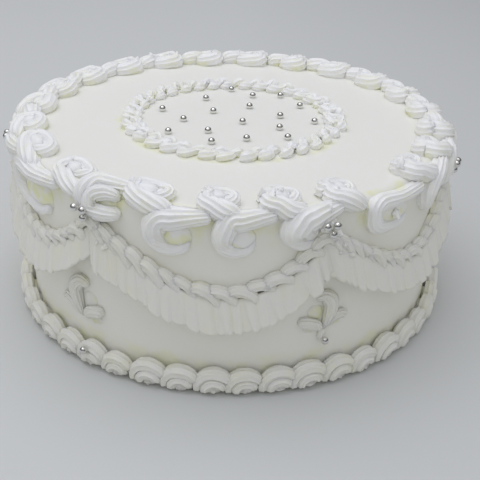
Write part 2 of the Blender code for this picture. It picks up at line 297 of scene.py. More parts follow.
@dataclass(frozen=True)
class StarNozzle:
    """A star nozzle and the cream that it leaves.

    Attributes:
        teeth: Number of ridges round a stroke.
        groove: Depth of the grooves as a share of the radius.
        offsets: Places of the vertices from one ridge to the next.
        drift: How far the ridges turn round the stroke as it bends.
        pressure: Change of thickness along the stroke, as a share.
        ragged: Roughness of the crests, as a share of the radius.
        uneven: How much the depth of the grooves and the height of the ridges vary.
        waves: Wavelengths of the ridges' unevenness, their roughness and the pressure.
        spacing: Distance between two rings.
        squat: Height of the section as a share of its width.
        foot: How much further the section reaches down than up.
        sharp: Power of the groove's curve, low for wide grooves and thin crests.
        turn_room: How near a stroke's inner flank comes to the middle of its bend.
        fade: Share of the groove that is left at the stroke's start and at its end.
        whole_shade: How much painted shade the whole stroke takes, on top of its grooves.
    """

    teeth: int = 11
    groove: float = 0.27
    offsets: tuple[float, ...] = (0.0, 0.09, 0.28, 0.5, 0.72, 0.91)
    drift: float = 0.3
    pressure: float = 0.05
    ragged: float = 0.022
    uneven: float = 0.25
    waves: Triple = (5.0, 1.1, 8.0)
    spacing: float = 1.0
    squat: float = 0.96
    foot: float = 1.3
    sharp: float = 0.8
    turn_room: float = 0.9
    fade: Pair = (1.0, 1.0)
    whole_shade: float = 0.0

    def stations(self, curve: Array, ends: Ends) -> tuple[Array, Array]:
        """Space rings evenly along a curve, closer together at its ends.

        Args:
            curve: Rows of a smooth stroke.
            ends: How the stroke begins and stops.

        Returns:
            The distances of the rings, and the thickness at each as a share.
        """
        lengths = np.linalg.norm(np.diff(curve[:, :3], axis=0), axis=1)
        total = float(lengths.sum())
        spans = [end.value[0] * curve[k, 3] for end, k in zip(ends, (0, -1))]
        spans = [min(span, 0.45 * total) for span in spans]
        quarter = np.linspace(0.0, math.pi / 2, 7)[1:]
        head = spans[0] * (1.0 - np.cos(quarter))
        tail = total - spans[1] * (1.0 - np.cos(quarter[::-1]))
        count = max(2, int((tail[0] - head[-1]) / self.spacing))
        distances = np.concatenate([head[:-1], np.linspace(head[-1], tail[0], count), tail[1:]])
        share = np.ones_like(distances)
        for end, span, near in zip(ends, spans, (distances, total - distances)):
            gone = np.clip(near / span, 0.0, 1.0)
            share *= (1.0 - (1.0 - gone) ** 2) ** end.value[1]
        return distances, share

    def pipe(
        self, cream: CreamMesh, centre: float, stroke: list[Row], ends: Ends = BOTH_ROUND
    ) -> None:
        """Pipe one ridged stroke on the icing.

        Args:
            cream: Mesh that takes the stroke.
            centre: Azimuth from which round lengths are measured.
            stroke: The stroke's rows.
            ends: How the stroke begins and stops.
        """
        rng = cream.rng
        curve = smooth_curve(stroke)
        steps = np.linalg.norm(np.diff(curve[:, :3], axis=0), axis=1)
        walked = np.concatenate([[0.0], np.cumsum(steps)])
        distances, share = self.stations(curve, ends)
        spots = np.stack([np.interp(distances, walked, column) for column in curve.T], axis=-1)
        azimuth = centre + PROFILE.degrees_for(spots[:, 0], spots[:, 1])
        normal, side, bend = self.frames(azimuth, spots)
        heading = np.unwrap(np.arctan2(*np.gradient(spots[:, :2], axis=0).T[::-1]))
        tooth = (np.arange(self.teeth)[:, None] + np.array(self.offsets)).ravel()
        valley = np.abs(np.sin(math.pi * tooth))
        index = np.round(tooth).astype(int) % self.teeth
        turn = rng.uniform(0.0, 2 * math.pi) - self.drift * heading
        angle = 2 * math.pi * tooth / self.teeth + turn[:, None]
        uneven = self.uneven * wander(rng, distances, self.waves[0], self.teeth)[:, index]
        rough = wander(rng, distances, self.waves[1], len(tooth)) * (1.0 - 0.7 * valley)
        swell = 1.0 + self.pressure * wander(rng, distances, self.waves[2], 1)
        radius = spots[:, 3:] * share[:, None] * swell
        fade = np.interp(distances / distances[-1], (0.0, 1.0), self.fade)[:, None]
        depth = self.groove * fade * (1.0 + uneven) * valley ** self.sharp
        section = radius * (1.0 - depth + self.groove * uneven * (1.0 - valley))
        section += self.ragged * rough * spots[:, 3:] * share[:, None]
        room = self.turn_room / np.maximum(np.abs(bend), 1e-6)[:, None]
        across = np.cos(angle)
        across = np.where(np.sin(angle) < 0.0, np.sign(across) * np.abs(across) ** 0.4, across)
        aside = section * across
        aside = np.where(aside * bend[:, None] > 0.0, np.clip(aside, -room, room), aside)
        rise = self.squat * section * np.sin(angle)
        rise = np.where(rise < 0.0, self.foot * rise, rise)
        lift = spots[:, 2] * share ** 0.4
        middle = PROFILE.points(azimuth, spots[:, 1], lift)[:, None, :]
        offset = aside[..., None] * side[:, None] + rise[..., None] * normal[:, None]
        tips = PROFILE.points(azimuth[[0, -1]], spots[[0, -1], 1], spots[[0, -1], 2] * 0.25)
        # Painted shade: a yellow-green tint, deeper in the grooves and where the stroke lies low
        # against the icing, plus the stroke's even share.
        low = np.clip(1.0 - (lift[:, None] + rise) / (0.7 * np.maximum(radius, 0.1)), 0.0, 1.0)
        painted_shade = np.clip(0.3 * valley * fade + 0.65 * low + self.whole_shade, 0.0, 1.0)
        cream.add_tube(middle + METRES * offset, tips, painted_shade, 0.3)

    @staticmethod
    def frames(azimuth: Array, spots: Array) -> tuple[Array, Array, Array]:
        """Return the directions in which each ring of a stroke lies.

        Args:
            azimuth: Azimuths of the rings.
            spots: The stroke's row at each ring.

        Returns:
            Unit vectors off the icing and to the stroke's left, and how sharply it turns left.
        """
        track = PROFILE.points(azimuth, spots[:, 1], spots[:, 2]) / METRES
        normal = PROFILE.points(azimuth, spots[:, 1], spots[:, 2] + 1.0) / METRES - track
        run = np.gradient(track, axis=0)
        pace = np.maximum(np.linalg.norm(run, axis=1, keepdims=True), 1e-6)
        run /= pace
        side = np.cross(normal, run)
        side /= np.maximum(np.linalg.norm(side, axis=1, keepdims=True), 1e-6)
        turning = (np.gradient(run, axis=0) * side).sum(axis=1)
        window = np.ones(5)
        bend = np.convolve(turning, window, "same") / np.convolve(pace[:, 0], window, "same")
        return normal, side, bend


@dataclass(frozen=True)
class CreamPeak:
    """A small torn peak, left where the nozzle was pulled away.

    Attributes:
        tall: Height of the peak.
        radius: Radius of its foot.
        teeth: Number of ridges.
        lean: How far the tip hangs over, as a share of the height.
    """

    tall: float = 4.2
    radius: float = 2.3
    teeth: int = 5
    lean: float = 0.4

    def pull(self, cream: CreamMesh, centre: float, spot: Place) -> None:
        """Pull a peak out of the cream.

        Args:
            cream: Mesh that takes the peak.
            centre: Azimuth from which round lengths are measured.
            spot: Round length, profile distance and height of its foot.
        """
        rng = cream.rng
        share = np.linspace(0.0, 1.0, 9)[:, None]
        angle = np.linspace(0.0, 2 * math.pi, 4 * self.teeth, endpoint=False)
        size = rng.uniform(0.75, 1.2)
        ridges = 1.0 + 0.2 * np.cos(self.teeth * angle + rng.uniform(0.0, 6.0) + 1.2 * share)
        radius = self.radius * size * (1.0 - 0.97 * share) ** 0.75 * ridges
        hang = rng.uniform(-self.lean, self.lean, 2) * self.tall * size
        along = spot[1] + hang[1] * share ** 2 + radius * np.sin(angle)
        length = spot[0] + hang[0] * share ** 2 + radius * np.cos(angle)
        out = spot[2] + self.tall * size * share * np.ones_like(along)
        rings = PROFILE.points(centre + PROFILE.degrees_for(length, along), along, out)
        tips = rings[[0, -1]].mean(axis=1)
        # Each peak takes a little painted shade all over.
        cream.add_tube(rings, tips, np.full(along.shape, 0.15), 0.15, clockwise=True)


BIG_STAR = StarNozzle(groove=0.19)
PLAIN = StarNozzle(teeth=8, groove=0.04, ragged=0.008, sharp=2.0, spacing=1.4)
SOFT_STAR = StarNozzle(groove=0.13, ragged=0.014)
# The smooth fill inside the scrolls and fleurs takes painted shade all over.
DOME = StarNozzle(
    teeth=8, groove=0.05, ragged=0.01, sharp=2.0, spacing=1.4, squat=0.36, whole_shade=0.4)
PEAK = CreamPeak()
SMALL_PEAK = CreamPeak(tall=2.2, radius=1.5)


@dataclass
class NodeSketch:
    """Nodes of a material, a node group or a world, added and joined in short calls.

    Attributes:
        tree: The tree that takes them.
    """

    tree: bpy.types.NodeTree

    def feed(self, node: bpy.types.Node, inputs: dict) -> None:
        """Fill sockets of a node.

        Args:
            node: The node.
            inputs: A value, or an output to join, for each socket's name or number.
        """
        for socket, value in inputs.items():
            if isinstance(value, bpy.types.NodeSocket):
                self.tree.links.new(value, node.inputs[socket])
            else:
                node.inputs[socket].default_value = value

    def add(self, kind: str, output: str, inputs: dict, **settings: object) -> bpy.types.NodeSocket:
        """Add a node.

        Args:
            kind: Type of the node.
            output: Name of the output that is wanted.
            inputs: What its sockets take.
            settings: Its other properties.

        Returns:
            The output.
        """
        node = self.tree.nodes.new(f"ShaderNode{kind}")
        for name, value in settings.items():
            setattr(node, name, value)
        self.feed(node, inputs)
        return node.outputs[output]

    def mix(self, factor: object, first: object, second: object) -> bpy.types.NodeSocket:
        """Return a mix of two colours, each a value or an output."""
        inputs = {"Factor": factor, "A": first, "B": second}
        return self.add("Mix", "Result", inputs, data_type="RGBA")


def start_material(name: str) -> tuple[bpy.types.Material, NodeSketch, bpy.types.Node]:
    """Start a material.

    Args:
        name: Name of the material.

    Returns:
        The material, its nodes and its shader.
    """
    material = bpy.data.materials.new(name)
    material.use_nodes = True
    return material, NodeSketch(material.node_tree), material.node_tree.nodes["Principled BSDF"]


def build_grain_and_shade_group() -> bpy.types.NodeTree:
    """Build the grain and the painted shade that the icing and the cream share.

    Returns:
        Node group with a colour and a height for each spot.
    """
    group = bpy.data.node_groups.new("cream_grain_with_painted_shade", "ShaderNodeTree")
    sockets = (
        ("Colour", "INPUT", "Color"), ("Shade", "INPUT", "Color"), ("Shade Amount", "INPUT", "Float"),
        ("Grain Size", "INPUT", "Float"), ("Patch Size", "INPUT", "Float"),
        ("Colour", "OUTPUT", "Color"), ("Height", "OUTPUT", "Float"),
    )
    for name, direction, kind in sockets:
        group.interface.new_socket(name, in_out=direction, socket_type=f"NodeSocket{kind}")
    sketch = NodeSketch(group)
    entry = group.nodes.new("NodeGroupInput").outputs
    leave = group.nodes.new("NodeGroupOutput")
    place = sketch.add("TexCoord", "Object", {})
    patches = sketch.add("TexNoise", "Fac", {"Vector": place, "Scale": entry["Patch Size"]})
    spread = sketch.add("MapRange", "Result", {"Value": patches, "From Min": 0.46, "From Max": 0.64})
    amount = sketch.add("Math", "Value", {0: spread, 1: entry["Shade Amount"]}, operation="MULTIPLY")
    # Painted shade: the shade colour is mixed in by the groove attribute, broken into patches.
    shaded_colour = sketch.mix(amount, entry["Colour"], entry["Shade"])
    grain = {"Vector": place, "Scale": entry["Grain Size"], "Detail": 4.0}
    sketch.feed(leave, {"Colour": shaded_colour, "Height": sketch.add("TexNoise", "Fac", grain)})
    return group


@dataclass(frozen=True)
class CreamFinish:
    """Finish of icing or piped cream.

    Attributes:
        name: Name of the material.
        colour: Colour of the open surface.
        shade: Colour of the painted shade, yellow-green, deep in the grooves and where cream meets
            icing.
        roughness: Roughness of the surface.
        grain: Grains to a metre.
        bump: Height of the grain in metres.
        softness: Share of light that passes through the surface.
        shade_amount: Strength of the painted shade.
        patch: Patches of the painted shade to a metre.
    """

    name: str
    colour: Colour
    shade: Colour
    roughness: float
    grain: float = 900.0
    bump: float = 0.00005
    softness: float = 0.35
    shade_amount: float = 0.9
    patch: float = 95.0

    def build(self, group: bpy.types.NodeTree) -> bpy.types.Material:
        """Return the material.

        Args:
            group: The shared group of grain and painted shade.

        Returns:
            Material that paints shade where its piece's groove attribute says.
        """
        material, sketch, shader = start_material(self.name)
        # Strength of the painted shade, kept in the groove attribute.
        depth = sketch.add("Attribute", "Fac", {}, attribute_name="groove")
        amount = sketch.add("Math", "Value", {0: depth, 1: self.shade_amount}, operation="MULTIPLY")
        inputs = {
            "Colour": (*self.colour, 1.0), "Shade": (*self.shade, 1.0), "Shade Amount": amount,
            "Grain Size": self.grain, "Patch Size": self.patch,
        }
        colour = sketch.add("Group", "Colour", inputs, node_tree=group)
        height = colour.node.outputs["Height"]
        relief = {"Height": height, "Distance": self.bump, "Strength": 0.6}
        sketch.feed(shader, {
            "Base Color": colour, "Roughness": self.roughness,
            "Normal": sketch.add("Bump", "Normal", relief), "Subsurface Weight": self.softness,
            "Subsurface Radius": (1.0, 0.95, 0.8), "Subsurface Scale": 0.0018,
        })
        return material


@dataclass(frozen=True)
class SilverFinish:
    """Polished silver coat of the sugar balls.

    Attributes:
        name: Name of the material.
        colour: Colour of the silver.
        roughness: Mean roughness.
        dimple: Depth in metres of the dimples of the sugar under the silver.
    """

    name: str = "silver_sugar"
    colour: Colour = (0.8, 0.795, 0.78)
    roughness: float = 0.1
    dimple: float = 0.00006

    def build(self) -> bpy.types.Material:
        """Return the material."""
        material, sketch, shader = start_material(self.name)
        place = sketch.add("TexCoord", "Object", {})
        noise = sketch.add("TexNoise", "Fac", {"Vector": place, "Scale": 900.0})
        spread = {"Value": noise, "To Min": 0.5 * self.roughness, "To Max": 1.5 * self.roughness}
        sketch.feed(shader, {
            "Metallic": 1.0, "Base Color": (*self.colour, 1.0),
            "Roughness": sketch.add("MapRange", "Result", spread),
            "Normal": sketch.add("Bump", "Normal", {"Height": noise, "Distance": self.dimple}),
        })
        return material


@dataclass(frozen=True)
class Finishes:
    """The materials of the cake.

    Attributes:
        icing: Coat of icing.
        cream: Cream of the rim and the top, the lit copy, lighter and cooler than the shaded one.
        shaded_side_cream: The same cream for the side and the foot, a little rougher, painted darker
            and warmer as painted shade.
        silver: Coat of the sugar balls.
    """

    icing: bpy.types.Material
    cream: bpy.types.Material
    shaded_side_cream: bpy.types.Material
    silver: bpy.types.Material

    @staticmethod
    def build() -> "Finishes":
        """Return the cake's four materials."""
        creams = (
            CreamFinish(
                "iced_coat", (0.88, 0.872, 0.79), (0.83, 0.83, 0.48), 0.5, 420.0, 0.00008, 0.15),
            # The side cream is a darker, warmer copy of the piped cream: painted shade for the side
            # and the foot.
            CreamFinish("piped_cream", (0.94, 0.934, 0.89), (0.86, 0.865, 0.52), 0.42),
            CreamFinish("shaded_side_cream", (0.828, 0.816, 0.742), (0.82, 0.82, 0.5), 0.45),
        )
        group = build_grain_and_shade_group()
        return Finishes(*(cream.build(group) for cream in creams), SilverFinish().build())


@dataclass
class SugarBalls:
    """Silver sugar balls.

    Attributes:
        silver: Material of their coat.
        radius: Radius of a ball.
        segments: Meridians of a ball.
        rings: Parallels of a ball.
    """

    silver: bpy.types.Material
    radius: float = 1.95
    segments: int = 20
    rings: int = 14

    def scatter(self, name: str, places: list[Place], *nodes: str) -> None:
        """Model one ball, copy it to each place and join the copies.

        Args:
            name: Name of the piece.
            places: Azimuth, profile distance and height of each ball's middle.
            nodes: CAD nodes that the balls stand for.
        """
        deselect_all()
        bpy.ops.mesh.primitive_uv_sphere_add(
            segments=self.segments, ring_count=self.rings, radius=self.radius * METRES)
        ball = bpy.context.object
        ball.data.materials.append(self.silver)
        bpy.ops.object.shade_smooth()
        copies = []
        for place in places:
            copy = bpy.data.objects.new(name, ball.data.copy())
            copy.data.transform(Matrix.Translation(PROFILE.points(*place).tolist()))
            bpy.context.scene.collection.objects.link(copy)
            copies.append(copy)
        bpy.data.objects.remove(ball)
        deselect_all()
        for copy in copies:
            copy.select_set(True)
        bpy.context.view_layer.objects.active = copies[0]
        bpy.ops.object.join()
        balls = bpy.context.object
        balls.name = name
        balls.data.name = name
        dress(balls, "silver_balls", *nodes)


@dataclass
class SubAssembly:
    """A part of the cake.

    Attributes:
        finishes: The cake's materials.
        balls: The sugar balls, to be set where the part has some.
    """

    finishes: Finishes
    balls: SugarBalls


@dataclass
class IcedCoat(SubAssembly):
    """The smooth coat of icing over the cake.

    Attributes:
        segments: Faces round the side.
        bevels: Faces across the rounded rim.
        bands: Height between two loops on the side.
        waves: Height of the spatula's waves.
        top_balls: Distance from the middle and azimuth of each ball on the top.
        ball_lift: Height of the balls' middles off the icing.
        rim_shade: Strength of the warm painted shade under the rim, and where it starts and is full.
        foot_shade: The same above the foot.
        ring_shade: The same beside the rope ring, by the distance from the ring.
        ring: Radius round which that painted shade lies.
    """

    segments: int = 160
    bevels: int = 6
    bands: float = 4.0
    waves: float = 0.35
    top_balls: tuple[Pair, ...] = (
        (41.2, -103.8), (27.8, -77.7), (42.3, -53.6), (33.8, -151.6), (13.7, -125.2), (26.3, -30.0),
        (39.8, -15.8), (47.2, -178.5), (38.1, 162.4), (19.7, 151.6), (9.7, 33.0), (33.7, 12.5),
        (46.9, 143.2), (26.5, 95.3), (29.9, 57.5), (41.9, 43.6), (43.4, 117.3), (45.3, 82.7),
    )
    ball_lift: float = 1.35
    rim_shade: Triple = (0.75, 76.0, 88.0)
    foot_shade: Triple = (0.4, 19.0, 16.0)
    ring_shade: Triple = (0.6, 4.16, 1.56)
    ring: float = 61.0

    def build(self) -> None:
        """Turn the coat, wave its surface and strew the balls on it."""
        deselect_all()
        bpy.ops.mesh.primitive_cylinder_add(
            vertices=self.segments, radius=PROFILE.radius * METRES, depth=PROFILE.height * METRES,
            location=(0.0, 0.0, PROFILE.height * METRES / 2))
        coat = bpy.context.object
        coat.name = "iced_coat"
        coat.data.name = "iced_coat"
        bpy.ops.object.transform_apply(location=True)
        self.round_rim(coat)
        self.add_loops(coat)
        self.wave_surface(coat)
        self.paint_shade_near_piping(coat)
        coat.data.materials.append(self.finishes.icing)
        dress(coat, "icing_coat", "cake_body")
        places = [(azimuth, PROFILE.at_radius(r), self.ball_lift) for r, azimuth in self.top_balls]
        self.balls.scatter("top_balls", places, "cake_body")

    @staticmethod
    def select_top(coat: bpy.types.Object, below: float) -> None:
        """Select the coat's vertices down to a distance below its top, in edit mode.

        Args:
            coat: The coat.
            below: The distance.
        """
        bpy.ops.object.mode_set(mode="OBJECT")
        for part in (coat.data.polygons, coat.data.edges, coat.data.vertices):
            part.foreach_set("select", np.zeros(len(part), bool))
        for vertex in coat.data.vertices:
            vertex.select = vertex.co.z > (PROFILE.height - below) * METRES
        bpy.ops.object.mode_set(mode="EDIT")
        bpy.ops.mesh.select_mode(type="VERT")

    def round_rim(self, coat: bpy.types.Object) -> None:
        """Bevel the top edge into the rounded rim.

        Args:
            coat: The coat, a plain drum.
        """
        self.select_top(coat, 1.0)
        bpy.ops.mesh.select_mode(type="EDGE")
        bpy.ops.mesh.bevel(offset=PROFILE.rim * METRES, segments=self.bevels, affect="EDGES")
        bpy.ops.object.mode_set(mode="OBJECT")

    def add_loops(self, coat: bpy.types.Object) -> None:
        """Cut level loops round the side, and inset rings in the top.

        Args:
            coat: The coat.
        """
        bpy.ops.object.mode_set(mode="EDIT")
        for k in range(1, int((PROFILE.height - PROFILE.rim) / self.bands)):
            bpy.ops.mesh.select_all(action="SELECT")
            level = (0.0, 0.0, k * self.bands * METRES)
            bpy.ops.mesh.bisect(plane_co=level, plane_no=(0.0, 0.0, 1.0))
        self.select_top(coat, 0.1)
        for _ in range(int(PROFILE.top_start / self.bands) - 1):
            bpy.ops.mesh.inset(thickness=self.bands * METRES)
        bpy.ops.mesh.poke()
        bpy.ops.object.mode_set(mode="OBJECT")

    def wave_surface(self, coat: bpy.types.Object) -> None:
        """Give the coat the slow waves that a spatula leaves.

        Args:
            coat: The coat.
        """
        waves = bpy.data.textures.new("spatula_waves", "CLOUDS")
        waves.noise_scale = 0.03
        modifier = coat.modifiers.new("waves", "DISPLACE")
        modifier.texture = waves
        modifier.texture_coords = "LOCAL"
        modifier.strength = self.waves * METRES
        modifier.mid_level = 0.5
        bpy.ops.object.modifier_apply(modifier=modifier.name)
        bpy.ops.object.shade_smooth_by_angle(angle=math.radians(50.0))

    def paint_shade_near_piping(self, coat: bpy.types.Object) -> None:
        """Paint a warm painted shade on the icing beside the piping: under the rim, above the foot and
        beside the rope ring.

        Args:
            coat: The coat.
        """
        spots = np.empty(3 * len(coat.data.vertices), np.float32)
        coat.data.vertices.foreach_get("co", spots)
        x, y, z = spots.reshape(-1, 3).T / METRES
        radius = np.hypot(x, y)
        side = radius > PROFILE.top_start + 1.0
        beside_ring = np.abs(radius - self.ring)
        # Painted shade strengths: under the rim and above the foot on the side, beside the ring on the
        # top.
        regions = (
            (*self.rim_shade, z, side), (*self.foot_shade, z, side),
            (*self.ring_shade, beside_ring, ~side),
        )
        mark_painted_shade(coat.data, np.maximum.reduce([
            strength * np.clip((place - start) / (full - start), 0.0, 1.0) * where
            for strength, start, full, place, where in regions
        ]))


class ScrollFoot(Enum):
    """How a lower scroll ends: the share of its grooves left there, and its thickness."""

    SMOOTH = (0.0, 1.0)
    RIDGED = (0.9, 1.45)


@dataclass(frozen=True)
class LowerScroll:
    """One lower scroll.

    Attributes:
        azimuth: Azimuth of its middle.
        width: Its width.
        lowest: Height of its lowest place.
        shoulder: Squareness of its upper left.
        fan: Width of its arm against the common arm.
        torn: Whether a torn peak stands in it.
        foot: How it ends.
        lift: How much further up it reaches than the others.
        covered: Where the upper scroll before it ends, as a share of its width.
    """

    azimuth: float
    width: float
    lowest: float
    shoulder: float = 0.5
    fan: float = 1.0
    torn: bool = False
    foot: ScrollFoot = ScrollFoot.SMOOTH
    lift: float = 0.0
    covered: float = 0.12


@dataclass
class RimScrolls(SubAssembly):
    """The border of upper and lower scrolls round the rim.

    An upper scroll is a hairpin that lies on the top and ends on the next lower scroll, a C.

    Attributes:
        top: Height that the lower scrolls reach.
        stroke: Radius of a wide lower scroll's stroke.
        narrow: Width below which a lower scroll's stroke is thinner.
        start_past: How far a lower scroll starts past its edge.
        upper_stroke: Radius of an upper scroll's stroke.
        tip_back: How far an upper scroll reaches back over the lower one before it.
        head_share: Length of an upper scroll's head as a share of the scroll.
        head_longest: Longest head.
        pieces: Number of pieces that the border is made in.
        peak_odds: How often a scroll keeps a torn peak.
        arm: Nozzle of a lower scroll's outer stroke.
        sharp_within: Azimuth to both sides of the front within which ridges are sharp.
        back_scrolls: Number of lower scrolls behind.
        back_swell: Thickness of the upper scrolls behind, against those in front.
        back_width: Width of a lower scroll behind.
        back_lowest: Height of its lowest place.
        front: The lower scrolls in front, from left to right.
    """

    top: float = 96.5
    stroke: float = 5.4
    narrow: float = 25.0
    start_past: float = 5.5
    upper_stroke: float = 5.0
    tip_back: float = 0.8
    head_share: float = 0.68
    head_longest: float = 29.0
    pieces: int = 7
    peak_odds: float = 0.4
    arm: StarNozzle = StarNozzle(groove=0.23)
    sharp_within: float = 50.0
    back_scrolls: int = 13
    back_swell: float = 1.12
    back_width: float = 27.0
    back_lowest: float = 72.0
    front: tuple[LowerScroll, ...] = (
        LowerScroll(-75.0, 25.0, 72.0, 0.6), LowerScroll(-56.0, 38.0, 68.0, 0.9, 0.92),
        LowerScroll(-31.0, 25.0, 82.0, 0.3, 0.95, foot=ScrollFoot.RIDGED, lift=6.5, covered=-0.3),
        LowerScroll(-13.0, 25.0, 71.0, 0.9, 1.05), LowerScroll(1.5, 22.5, 72.0, 0.3, 1.1),
        LowerScroll(16.7, 22.5, 74.0, 0.2, 1.3),
        LowerScroll(39.5, 33.0, 73.0, 1.3, 0.76, True, covered=-0.44),
        LowerScroll(57.5, 25.0, 72.0, 0.1, 1.0), LowerScroll(72.0, 24.0, 72.0, 0.3),
    )

    def all_scrolls(self) -> list[LowerScroll]:
        """Return the lower scrolls round the whole cake."""
        rng = random.Random(7)
        scrolls = list(self.front)
        first = self.front[-1].azimuth
        span = 360.0 + self.front[0].azimuth - first
        for k in range(1, self.back_scrolls + 1):
            azimuth = first + span * k / (self.back_scrolls + 1) + rng.uniform(-0.8, 0.8)
            width = self.back_width + rng.uniform(-1.5, 1.5)
            lowest = self.back_lowest + rng.uniform(-1.5, 1.5)
            torn = rng.random() < self.peak_odds
            scrolls.append(LowerScroll(azimuth, width, lowest, rng.uniform(0.2, 0.9), torn=torn))
        return scrolls

    def pipe_lower(self, cream: CreamMesh, scroll: LowerScroll) -> None:
        """Pipe one lower scroll: the smooth cream inside and the ridged C round it.

        Args:
            cream: Mesh that takes the scroll.
            scroll: Its place and shape.
        """
        stroke = self.stroke * min(1.0, scroll.width / self.narrow)
        reach = scroll.width / 2 - stroke
        top = PROFILE.at_height(self.top) + scroll.lift - stroke
        bottom = PROFILE.at_height(scroll.lowest) + stroke
        middle, rise = (top + bottom) / 2, (top - bottom) / 2

        def spot(x: float, y: float, share: float, high: float = 0.6) -> Row:
            """Return a stroke's row from shares of the scroll's reach, rise and thickness."""
            right, up = cream.rng.uniform(-0.4, 0.4), cream.rng.uniform(-0.4, 0.4)
            return x * reach + right, middle + y * rise + up, stroke * share * high, stroke * share

        start = (scroll.width / 2 + self.start_past) / reach
        square, fan = scroll.shoulder, scroll.fan
        ridged, thick = scroll.foot.value
        outer = [
            spot(start, 1.34 - 0.2 * square, 0.62), spot(0.4, 1.1 - 0.06 * square, 0.9 * fan),
            spot(-0.46 - 0.3 * square, 0.86 + 0.12 * square, fan, 0.55),
            spot(-1.06, 0.05 + 0.16 * square, fan, 0.5), spot(-0.86, -0.64, 0.84, 0.3),
            spot(-0.1, -1.12, 0.66 * thick, 0.12), spot(0.78, -0.94, 0.54 * thick, 0.06),
            spot(1.16, -0.25, 0.44 * thick, 0.0),
        ]
        inside = [
            spot(-1.0, 0.0, 1.15, 0.0), spot(-0.3, -0.16, 1.55, -0.02),
            spot(0.5, -0.24, 1.55, -0.04), spot(1.3, -0.14, 1.15, -0.06),
        ]
        DOME.pipe(cream, scroll.azimuth, inside)
        arm = replace(self.arm, fade=(1.15, ridged))
        arm.pipe(cream, scroll.azimuth, outer, (StrokeEnd.TUCKED, StrokeEnd.PULLED))
        if scroll.foot is ScrollFoot.RIDGED:
            inner = [
                spot(1.5, 0.42, 0.5, 0.8), spot(0.6, 0.4, 0.7, 0.9), spot(-0.3, 0.1, 0.78, 0.9),
                spot(-0.1, -0.62, 0.78, 0.8), spot(0.8, -0.9, 0.74, 0.8),
                spot(1.7, -0.86, 0.5, 0.7),
            ]
            arm.pipe(cream, scroll.azimuth, inner)
        if scroll.torn:
            PEAK.pull(cream, scroll.azimuth, (0.1 * reach, middle - 0.1 * rise, 3.2))

    def pipe_upper(self, cream: CreamMesh, before: LowerScroll, after: LowerScroll) -> None:
        """Pipe the hairpin of an upper scroll.

        Args:
            cream: Mesh that takes the scroll.
            before: The lower scroll that it starts from.
            after: The lower scroll that it ends on.
        """
        tip = before.azimuth + PROFILE.degrees_for(before.width / 2 - self.tip_back, 0.0)
        tail = after.azimuth + PROFILE.degrees_for(after.width * after.covered, 0.0)
        length = math.radians((tail - tip) % 360.0) * PROFILE.radius_at(0.0)
        head = min(self.head_share * length, self.head_longest)
        between = 0.5 * (head + length)
        behind = after not in self.front
        stroke = self.upper_stroke * (self.back_swell if behind else 1.0)

        def spot(x: float, y: float, share: float) -> Row:
            """Return a row of the hairpin."""
            right, up = cream.rng.uniform(-0.5, 0.5), cream.rng.uniform(-0.35, 0.35)
            return x + right, y + up, stroke * share * 0.5, stroke * share

        hairpin = [
            spot(0.62 * head, 4.6, 0.6), spot(0.9 * head, 3.8, 0.7), spot(head, 6.6, 0.78),
            spot(0.8 * head, 9.2, 0.86), spot(0.5 * head, 9.6, 0.95), spot(0.22 * head, 8.4, 1.0),
            spot(3.8, 5.2, 0.98), spot(0.22 * head, 2.4, 1.0), spot(0.5 * head, 0.8, 1.0),
            spot(0.85 * head, -0.4, 1.0), spot(between, -1.8, 0.85), spot(length, -4.2, 0.55),
        ]
        filling = [
            spot(0.22 * head, 5.6, 0.8), spot(0.5 * head, 5.4, 0.9), spot(0.86 * head, 5.8, 0.75)]
        PLAIN.pipe(cream, tip, filling)
        if behind:
            bridge = [
                spot(0.8 * head, 3.0, 0.8), spot(between, 3.4, 0.92),
                spot(length + 3.0, 4.4, 0.86), spot(length + 7.0, 5.6, 0.7),
            ]
            SOFT_STAR.pipe(cream, tip, bridge, (StrokeEnd.TUCKED, StrokeEnd.ROUND))
            self.maybe_peak(cream, tip, (between, 4.0, 4.2))
        nozzle = BIG_STAR if abs(after.azimuth) < self.sharp_within else SOFT_STAR
        nozzle.pipe(cream, tip, hairpin, PULLED_OFF)
        self.maybe_peak(cream, tip, (1.2, 6.0, 4.0))
        self.maybe_peak(cream, tip, (0.55 * head, 5.6, 4.0))

    def maybe_peak(self, cream: CreamMesh, centre: float, spot: Place) -> None:
        """Pull a torn peak at a spot of an upper scroll, as often as the odds say."""
        if cream.rng.random() < self.peak_odds:
            PEAK.pull(cream, centre, spot)

    def build(self) -> None:
        """Pipe the whole border, piece by piece."""
        scrolls = self.all_scrolls()
        rng = np.random.default_rng(21)
        count = len(scrolls)
        for piece in range(self.pieces):
            cream = CreamMesh(rng)
            for index in range(piece * count // self.pieces, (piece + 1) * count // self.pieces):
                self.pipe_lower(cream, scrolls[index])
                self.pipe_upper(cream, scrolls[index - 1], scrolls[index])
            cream.finish(f"rim_scrolls_{piece + 1}", self.finishes.cream, "rim_scrolls")


